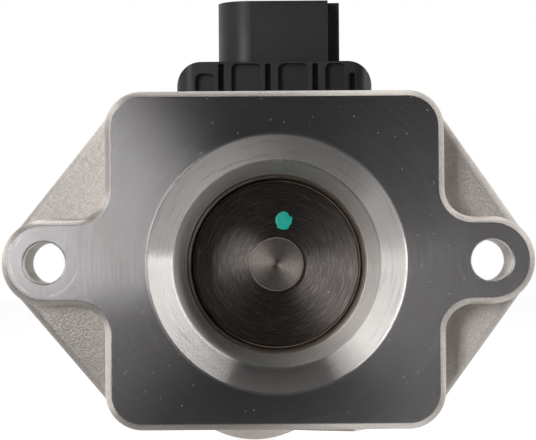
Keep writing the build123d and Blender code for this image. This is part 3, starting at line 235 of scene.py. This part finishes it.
def cast_aluminium(name):
    """Shot-blasted casting whose flange face, ear holes and port are machined."""
    recipe = Recipe(name, 0.5, 1.0)
    place_y = recipe.parts_of(recipe.place)[1]
    normal_y = recipe.parts_of(recipe.normal)[1]
    radius, away = recipe.radius_from(PORT_AXIS)

    flat = recipe.spread(normal_y, *FACE_NORMALS)
    on_face = recipe.maths("MULTIPLY", flat, recipe.spread(place_y, *FACE_LEVELS))
    within = recipe.spread(radius, *PORT_WALL)
    in_port = recipe.maths("MULTIPLY", within, recipe.spread(place_y, *PORT_END))
    bolt_print = 0.0
    for hole in EAR_HOLES:
        from_hole, _ = recipe.radius_from(hole)
        off_print = recipe.maths("ABSOLUTE", recipe.maths("SUBTRACT", from_hole, PRINT_RADIUS))
        bolt_print = recipe.maths("MAXIMUM", bolt_print, recipe.spread(off_print, *PRINT_LINE))
        drilled = recipe.spread(from_hole, *EAR_HOLE_WALL)
        in_port = recipe.maths("MAXIMUM", in_port, drilled)
    cut = recipe.maths("MAXIMUM", on_face, in_port)

    grain = recipe.noise(CAST_GRAIN_SIZE, 3.0)
    cloud = recipe.noise(CAST_CLOUD_SIZE)
    cast = recipe.mix(recipe.spread(grain, *MIDDLE), CAST_DARK, CAST_LIGHT)
    cast = recipe.mix(recipe.spread(cloud, 0.35, 0.7, 0.0, 0.25), cast, CAST_DARK)

    marks = recipe.rings(radius, TOOL_PITCH, 2.0)
    smear = recipe.streaks(radius, away, SMEAR_PITCH, 3.0)
    scratch = recipe.streaks(radius, away, SCRATCH_PITCH, 5.0)
    face = recipe.mix(recipe.spread(smear, *MIDDLE), FACE_DARK, FACE_LIGHT)
    face = recipe.mix(recipe.spread(marks, *MIDDLE, 0.0, 0.25), face, FACE_DARK)
    face = recipe.mix(recipe.spread(scratch, 0.66, 0.76, 0.0, 0.3), face, BORE_COLOUR)
    dirt = recipe.maths("MAXIMUM", *[recipe.specks(*dust) for dust in FACE_DUST])
    face = recipe.mix(recipe.spread(cloud, 0.35, 0.7, 0.0, 0.3), face, FACE_STAIN)
    face = recipe.mix(recipe.maths("MULTIPLY", dirt, 0.75), face, DUST)
    dusty = recipe.maths("MULTIPLY", dirt, recipe.maths("MULTIPLY", on_face, 0.6))
    recipe.set("Metallic", recipe.maths("SUBTRACT", 1.0, dusty))
    worn = recipe.spread(recipe.noise(PRINT_WEAR_SIZE), 0.46, 0.62, 0.0, 0.3)
    face = recipe.mix(recipe.maths("MULTIPLY", bolt_print, worn), face, CAST_LIGHT)
    bore = recipe.mix(recipe.spread(scratch, *MIDDLE, 0.35, 0.0), BORE_COLOUR, CAST_DARK)
    bore = recipe.mix(recipe.spread(smear, 0.55, 0.75, 0.0, 0.4), bore, FACE_DARK)
    bare = recipe.mix(in_port, face, bore)
    recipe.set("Base Color", recipe.mix(cut, cast, bare))

    cast_gloss = recipe.spread(grain, *MIDDLE, *CAST_GLOSS)
    face_gloss = recipe.spread(smear, *MIDDLE, *FACE_GLOSS)
    inside = recipe.spread(place_y, *CHAMFER_END)
    port_gloss = recipe.blend(inside, CHAMFER_GLOSS, BORE_GLOSS)
    bare_gloss = recipe.blend(in_port, face_gloss, port_gloss)
    recipe.set("Roughness", recipe.blend(cut, cast_gloss, bare_gloss))
    recipe.turned(away, CUT_STRETCH)

    rough = recipe.maths("MULTIPLY", grain, recipe.maths("SUBTRACT", 1.0, cut))
    fine = recipe.maths("MULTIPLY", recipe.maths("MULTIPLY", marks, TOOL_MARK_SHARE), cut)
    soft_edges = recipe.node("ShaderNodeBevel", {"Radius": CAST_EDGE}, samples=4).outputs[0]
    recipe.set("Normal", recipe.bump(recipe.maths("ADD", rough, fine), CAST_GRAIN_DEPTH, soft_edges))
    return recipe.material


def turned_steel(name, light, dark, gloss, stretch, pitch, edge=1.0, scuffs=0.0):
    """Steel turned about the port axis, with its tool marks and, from a radius on, a painted highlight: a
    pale, less metallic band on the broken edge.
    """
    light, dark = linear(*light), linear(*dark)
    pitch = pitch * MM
    recipe = Recipe(name, gloss, 1.0)
    radius, away = recipe.radius_from(PORT_AXIS)
    fine = recipe.rings(radius, pitch, 3.0)
    coarse = recipe.rings(radius, 5 * pitch, 2.0)
    tint = recipe.noise(6 * MM)
    banding = recipe.spread(coarse, 0.2, 0.8, 0.7, 1.1)
    shade = recipe.maths("MULTIPLY", recipe.spread(fine, 0.25, 0.75), banding)
    colour = recipe.mix(shade, dark, light)
    colour = recipe.mix(recipe.spread(tint, 0.4, 0.75, 0.0, 0.3), colour, dark)
    scratch = recipe.streaks(radius, away, 1.5 * pitch, 4.0)
    colour = recipe.mix(recipe.spread(scratch, 0.5, 0.75, 0.0, 0.42), colour, SCRATCH)
    if scuffs:
        dots = recipe.maths("MAXIMUM", *[recipe.specks(*dust) for dust in DISC_DUST])
        colour = recipe.mix(recipe.maths("MULTIPLY", dots, scuffs), colour, DUST)
    # Painted highlight: from the edge radius outwards the colour turns pale and less metallic
    rim_highlight = recipe.spread(radius, edge, edge + 0.1 * MM)
    recipe.set("Base Color", recipe.mix(rim_highlight, colour, EDGE_HIGHLIGHT_COLOUR))
    recipe.set("Metallic", recipe.blend(rim_highlight, 1.0, STEEL_EDGE_HIGHLIGHT_METALLIC))
    turned_gloss = recipe.spread(fine, 0.2, 0.8, gloss * 0.85, gloss * 1.2)
    recipe.set("Roughness", recipe.blend(rim_highlight, turned_gloss, STEEL_EDGE_HIGHLIGHT_GLOSS))
    recipe.turned(away, stretch)
    recipe.set("Normal", recipe.bump(fine, STEEL_MARK_DEPTH))
    return recipe.material


def plain_metal(name, light, dark, gloss, grain_size, grain_depth):
    """Metal with a fine grain and slow changes of tint, for plated, drawn and ground pieces."""
    light, dark = linear(*light), linear(*dark)
    recipe = Recipe(name, gloss, 1.0)
    grain = recipe.noise(grain_size * MM, 3.0)
    cloud = recipe.noise(12 * grain_size * MM)
    colour = recipe.mix(recipe.spread(cloud, *MIDDLE), dark, light)
    recipe.set("Base Color", recipe.mix(recipe.spread(grain, 0.4, 0.8, 0.0, 0.35), colour, dark))
    recipe.set("Roughness", recipe.spread(grain, 0.2, 0.8, gloss * 0.8, gloss * 1.25))
    recipe.set("Normal", recipe.bump(grain, grain_depth * MM))
    return recipe.material


# Plastics, rubber and the rest

PLASTIC_EDGE = 0.25 * MM
PLASTIC_FLOW_SIZE = 8 * MM
WIRE_BANDS = 0.32 / MM
BOARD_TRACKS = 0.5 / MM


def moulded_plastic(name, light, dark, gloss, grain_size, grain_depth):
    """Moulded plastic with its spark-eroded grain and faint flow clouds."""
    light, dark = linear(*light), linear(*dark)
    recipe = Recipe(name, gloss)
    grain = recipe.noise(grain_size * MM)
    flow = recipe.noise(PLASTIC_FLOW_SIZE, 3.0)
    colour = recipe.mix(recipe.spread(flow, *MIDDLE), dark, light)
    recipe.set("Base Color", recipe.mix(recipe.spread(grain, 0.45, 0.8, 0.0, 0.4), colour, light))
    recipe.set("Roughness", recipe.spread(flow, *MIDDLE, gloss * 0.9, gloss * 1.15))
    soft_edges = recipe.node("ShaderNodeBevel", {"Radius": PLASTIC_EDGE}, samples=4).outputs[0]
    recipe.set("Normal", recipe.bump(grain, grain_depth * MM, soft_edges))
    return recipe.material


def wound_copper(name):
    """Enamelled copper wire, wound in close layers, with painted shade in the grooves between the turns and
    painted highlight on their crowns.
    """
    recipe = Recipe(name, 0.3, 1.0)
    inputs = {"Vector": recipe.place, "Scale": WIRE_BANDS, "Distortion": 0.4}
    turns_with_shade = recipe.node("ShaderNodeTexWave", inputs, bands_direction="X").outputs["Fac"]
    cloud = recipe.noise(3 * MM)
    # Painted shade and highlight: the colour goes from dark copper in the grooves to light copper on the
    # crown of each turn
    colour = recipe.mix(turns_with_shade, linear(96, 44, 22), linear(196, 108, 62))
    tint = recipe.spread(cloud, *MIDDLE, 0.0, 0.4)
    recipe.set("Base Color", recipe.mix(tint, colour, linear(128, 62, 34)))
    recipe.set("Normal", recipe.bump(turns_with_shade, 0.2 * MM))
    return recipe.material


def circuit_board(name):
    """Green solder mask over faint copper tracks."""
    recipe = Recipe(name, 0.35)
    inputs = {"Vector": recipe.place, "Scale": BOARD_TRACKS}
    tracks = recipe.node("ShaderNodeTexBrick", inputs).outputs["Fac"]
    speck = recipe.noise(0.5 * MM)
    colour = recipe.mix(recipe.maths("MULTIPLY", tracks, 0.4), linear(18, 74, 44), linear(60, 118, 62))
    tint = recipe.spread(speck, 0.4, 0.8, 0.0, 0.2)
    recipe.set("Base Color", recipe.mix(tint, colour, linear(10, 48, 30)))
    recipe.set("Normal", recipe.bump(tracks, 0.03 * MM))
    return recipe.material


def marking_paint(name):
    """Thick inspection paint dabbed on by hand."""
    recipe = Recipe(name, 0.45)
    patch = recipe.noise(0.9 * MM)
    fine = recipe.noise(0.25 * MM)
    colour = recipe.mix(recipe.spread(patch, 0.35, 0.65), linear(22, 222, 204), linear(44, 238, 210))
    recipe.set("Base Color", colour)
    recipe.set("Normal", recipe.bump(fine, 0.02 * MM))
    return recipe.material


# A material for each slot of the record: its builder, light and dark colour, and gloss. Grained ones add
# the size and the depth of their grain in mm. Turned ones add the stretch of their gloss, the pitch of
# their marks in mm, and where they have them the radius in metres from which their edge gets a painted
# highlight, and the share of dust.

# Radii from which the disc and the stem get a painted highlight on their edges
DISC_EDGE = (DISC_HIGH.x - DISC_LOW.x) / 2 - 0.3 * MM
STEM_EDGE = 5.75 * MM
SLOT_MATERIALS = {
    "cast_body": (cast_aluminium,),
    "hard_seat": (turned_steel, (168, 156, 146), (116, 104, 94), 0.4, 0.5, 0.2),
    "valve_steel": (turned_steel, (136, 130, 127), (86, 80, 77), 0.3, 0.9, 0.12, DISC_EDGE, 0.55),
    "stem_steel": (turned_steel, (166, 157, 151), (124, 116, 111), 0.36, 0.6, 0.1, STEM_EDGE),
    "bronze": (plain_metal, (184, 142, 92), (140, 102, 62), 0.45, 0.2, 0.02),
    "seal_rubber": (moulded_plastic, (44, 44, 46), (26, 26, 28), 0.7, 0.12, 0.01),
    "pressed_steel": (plain_metal, (192, 190, 184), (150, 148, 142), 0.35, 0.3, 0.01),
    "spring_steel": (plain_metal, (150, 152, 158), (96, 98, 104), 0.3, 0.15, 0.01),
    "machined_steel": (plain_metal, (176, 176, 180), (128, 128, 132), 0.3, 0.2, 0.01),
    "bearing_steel": (plain_metal, (206, 206, 210), (170, 170, 176), 0.16, 0.4, 0.002),
    "screw_steel": (plain_metal, (200, 198, 186), (150, 148, 138), 0.34, 0.2, 0.01),
    "bush_brass": (plain_metal, (214, 182, 112), (168, 134, 72), 0.3, 0.2, 0.01),
    "gear_plastic": (moulded_plastic, (226, 220, 200), (206, 198, 176), 0.5, 0.2, 0.01),
    "cover_plastic": (moulded_plastic, (36, 36, 39), (25, 25, 27), 0.44, 0.16, 0.02),
    "magnet_ferrite": (moulded_plastic, (70, 70, 74), (48, 48, 52), 0.6, 0.1, 0.01),
    "core_steel": (plain_metal, (140, 140, 144), (88, 88, 92), 0.4, 0.25, 0.02),
    "copper": (wound_copper,),
    "carbon": (moulded_plastic, (60, 60, 62), (36, 36, 38), 0.65, 0.08, 0.01),
    "tin_brass": (plain_metal, (214, 212, 206), (178, 174, 164), 0.25, 0.2, 0.006),
    "board": (circuit_board,),
    "chip": (moulded_plastic, (46, 46, 48), (32, 32, 34), 0.5, 0.08, 0.006),
}


def dress_nodes():
    """Gives every CAD node the material of its slot."""
    made = {slot: build(slot, *values) for slot, (build, *values) in SLOT_MATERIALS.items()}
    for part in frame["record"]["subparts"]:
        node = frame["nodes"][part["node"]]
        if not node.material_slots:
            node.data.materials.append(None)
        for slot in node.material_slots:
            slot.link = "OBJECT"
            slot.material = made[part["material_slot"]]
    return made


# Pieces added to the solids

DOT_CENTRE = (1.6 * MM, 9.78 * MM)
DOT_RADIUS = 1.96 * MM
DOT_HEIGHT = 0.1 * MM
DOT_RINGS = 8
DOT_STEPS = 72
DOT_OVAL = 0.05
DOT_WAVES = 0.02
DOT_DENTS = ((20, 9, -0.1), (42, 12, 0.12), (215, 8, 0.1), (228, 7, -0.1), (318, 10, 0.14))


def dot_edge(turn):
    """Uneven edge of the paint dab, as a share of its radius."""
    def dent(middle, width, depth):
        away = math.remainder(turn - math.radians(middle), FULL_TURN)
        return depth * math.exp(-((away / math.radians(width)) ** 2))
    share = 1 + DOT_OVAL * math.cos(2 * (turn - math.pi / 2)) + DOT_WAVES * math.sin(5 * turn + 0.6)
    return share - sum(dent(*place) for place in DOT_DENTS)


def paint_dot():
    """Low dab of marking paint on the front of the valve disc."""
    front = DISC_LOW.y
    points = [(DOT_CENTRE[0], front - DOT_HEIGHT, DOT_CENTRE[1])]
    for ring in range(1, DOT_RINGS + 1):
        share = ring / DOT_RINGS
        lift = DOT_HEIGHT * (1 - share ** 6)
        for step in range(DOT_STEPS):
            turn = FULL_TURN * step / DOT_STEPS
            reach = DOT_RADIUS * share * (1 + (dot_edge(turn) - 1) * share ** 2)
            x = DOT_CENTRE[0] + reach * math.cos(turn)
            z = DOT_CENTRE[1] + reach * math.sin(turn)
            points.append((x, front - lift, z))
    faces = [(0, 1 + step, 1 + (step + 1) % DOT_STEPS) for step in range(DOT_STEPS)]
    for ring in range(DOT_RINGS - 1):
        inner = 1 + ring * DOT_STEPS
        outer = inner + DOT_STEPS
        for step in range(DOT_STEPS):
            after = (step + 1) % DOT_STEPS
            faces.append((inner + step, outer + step, outer + after, inner + after))
    mesh = bpy.data.meshes.new("paint_dot")
    mesh.from_pydata(points, [], faces)
    for polygon in mesh.polygons:
        polygon.use_smooth = True
    dot = bpy.data.objects.new("paint_dot", mesh)
    bpy.context.scene.collection.objects.link(dot)
    mesh.materials.append(marking_paint("marking_paint"))
    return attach(dot, "valve")


def closing_spring(material):
    """The return spring: a copy of its solid with its own mesh, held on the valve body. The real spring
    shortens as the valve opens.
    """
    solid = frame["nodes"]["return_spring"]
    spring = bpy.data.objects.new("return_spring_coil", solid.data.copy())
    bpy.context.scene.collection.objects.link(spring)
    spring.data.materials.clear()
    spring.data.materials.append(material)
    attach(spring, "body")
    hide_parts("return_spring")
    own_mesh(spring)
    return spring


# Studio: each fade has its start and end, and the level at each

WHITE = (1.0, 1.0, 1.0, 1.0)
FLOOR_HALF = 3.0
FLOOR_DROP = 0.2 * MM
FLOOR_SHARE = 0.6
FLOOR_GLOW = 1.36
PAPER_FADE = (-0.03, 0.045, 0.03, 0.8)
SHINE_BACK_FADE = (-0.65, -0.3, 0.03, 1.0)
SHINE_RIGHT_FADE = (-0.1, 0.45, 0.35, 1.0)
SHINE_LEFT_FADE = (-0.03, -0.07, 0.0, 0.5)
ROOM_FADE = (-0.05, 0.5, 0.06, 1.0)
BACKDROP_FADE = (-0.05, 0.2, 0.0, 1.0)
LAMP_TARGET = (0.0, 0.03, 0.0)
LAMPS = {
    "softbox_left": ((-0.27, -0.46, 0.03), (0.16, 0.56), 7.4),
    "softbox_side": ((-0.56, -0.14, 0.30), (0.42, 0.8), 0.7),
    "softbox_right": ((0.58, -0.09, 0.24), (0.18, 1.2), 4.3),
    "softbox_top": ((0.0, 0.15, 0.75), (0.6, 0.4), 1.8),
}


def floor_paper(name):
    """Pale paper that is white to the camera, and white in the metal towards the back and the sides."""
    material = bpy.data.materials.new(name)
    material.use_nodes = True
    nodes = Nodes(material.node_tree)
    nodes.tree.nodes.clear()
    rays = nodes.node("ShaderNodeLightPath").outputs
    place = nodes.node("ShaderNodeTexCoord").outputs["Object"]
    place_x, place_y, _ = nodes.parts_of(place)[:]
    way_x, way_y, _ = nodes.parts_of(nodes.vector("NORMALIZE", place))[:]

    shade = nodes.maths("MAXIMUM", nodes.spread(place_y, *PAPER_FADE), rays["Is Camera Ray"])
    paper = nodes.node("ShaderNodeBsdfDiffuse", {"Color": shade}).outputs[0]
    glow = nodes.node("ShaderNodeEmission", {"Color": WHITE, "Strength": FLOOR_GLOW}).outputs[0]

    right = nodes.spread(way_x, *SHINE_RIGHT_FADE)
    back_right = nodes.maths("MULTIPLY", right, nodes.spread(way_y, *SHINE_BACK_FADE))
    sides = nodes.maths("MAXIMUM", back_right, nodes.spread(place_x, *SHINE_LEFT_FADE))
    shine = nodes.maths("MULTIPLY", rays["Is Glossy Ray"], sides)
    seen = nodes.maths("MAXIMUM", rays["Is Camera Ray"], rays["Is Transmission Ray"])
    share = nodes.maths("MULTIPLY", nodes.maths("MAXIMUM", seen, shine), FLOOR_SHARE)
    mixed = nodes.node("ShaderNodeMixShader", {0: share, 1: paper, 2: glow}).outputs[0]
    nodes.node("ShaderNodeOutputMaterial", {"Surface": mixed})
    return material


def studio_floor():
    """Plain pale floor under the valve, which keeps a soft shadow."""
    level = BODY_LOW.z - FLOOR_DROP
    signs = ((-1, -1), (1, -1), (1, 1), (-1, 1))
    corners = [(x * FLOOR_HALF, y * FLOOR_HALF, level) for x, y in signs]
    mesh = bpy.data.meshes.new("floor")
    mesh.from_pydata(corners, [], [(0, 1, 2, 3)])
    floor = bpy.data.objects.new("floor", mesh)
    bpy.context.scene.collection.objects.link(floor)
    mesh.materials.append(floor_paper("floor_paper"))


def studio_world():
    """White surroundings behind the valve and a dimmer room on the camera's side."""
    world = bpy.data.worlds.new("studio")
    bpy.context.scene.world = world
    world.use_nodes = True
    nodes = Nodes(world.node_tree)
    nodes.tree.nodes.clear()
    depth = nodes.parts_of(nodes.node("ShaderNodeTexCoord").outputs["Generated"])[1]
    rays = nodes.node("ShaderNodeLightPath").outputs
    seen = nodes.maths("MAXIMUM", rays["Is Camera Ray"], rays["Is Transmission Ray"])
    shine = nodes.maths("MULTIPLY", rays["Is Glossy Ray"], nodes.spread(depth, *BACKDROP_FADE))
    white = nodes.maths("MAXIMUM", seen, shine)
    level = nodes.maths("MAXIMUM", white, nodes.spread(depth, *ROOM_FADE))
    room = nodes.node("ShaderNodeBackground", {"Color": WHITE, "Strength": level}).outputs[0]
    nodes.node("ShaderNodeOutputWorld", {"Surface": room})


def softbox(name, place, size, level):
    """Rectangular lamp of a given brightness, where 1 is white, turned to the valve."""
    data = bpy.data.lights.new(name, "AREA")
    data.shape = "RECTANGLE"
    data.size, data.size_y = size
    data.energy = level * math.pi * size[0] * size[1]
    lamp = bpy.data.objects.new(name, data)
    lamp.location = place
    facing = Vector(LAMP_TARGET) - Vector(place)
    lamp.rotation_euler = facing.to_track_quat("-Z", "Y").to_euler()
    bpy.context.scene.collection.objects.link(lamp)


# Camera

CAMERA_DISTANCE = 480 * MM
CAMERA_HEIGHT = -1.07 * MM
FOCAL_PIXELS = 2242.0
PHOTO_WIDTH = 536.0
PHOTO_HEIGHT = 440.0
VIEW_CENTRE_PIXEL = (276.5, 269.0)
SENSOR = 36.0
ROLL = math.radians(0.4)


def photo_camera():
    """Camera square to the flange face, aimed so that the valve sits where the photograph has it."""
    data = bpy.data.cameras.new("camera")
    data.sensor_width = SENSOR
    data.lens = FOCAL_PIXELS / PHOTO_WIDTH * SENSOR
    data.clip_start = 0.02
    data.clip_end = 20.0
    camera = bpy.data.objects.new("camera", data)
    across = (PHOTO_WIDTH / 2 - VIEW_CENTRE_PIXEL[0]) / FOCAL_PIXELS
    up = (VIEW_CENTRE_PIXEL[1] - PHOTO_HEIGHT / 2) / FOCAL_PIXELS
    aim = Vector((across, 1.0, up)).normalized()
    side = Vector((math.cos(ROLL), 0.0, -math.sin(ROLL)))
    side = (side - aim * side.dot(aim)).normalized()
    rise = side.cross(aim)
    turn = Matrix((side, rise, -aim)).transposed()
    camera.matrix_world = Matrix.Translation((0.0, -CAMERA_DISTANCE, CAMERA_HEIGHT)) @ turn.to_4x4()
    bpy.context.scene.collection.objects.link(camera)
    bpy.context.scene.camera = camera


materials = dress_nodes()
paint_dot()
closing_spring(materials["spring_steel"])
studio_floor()
studio_world()
for lamp_name, lamp_values in LAMPS.items():
    softbox(lamp_name, *lamp_values)
photo_camera()
bpy.context.scene.view_settings.view_transform = "Standard"
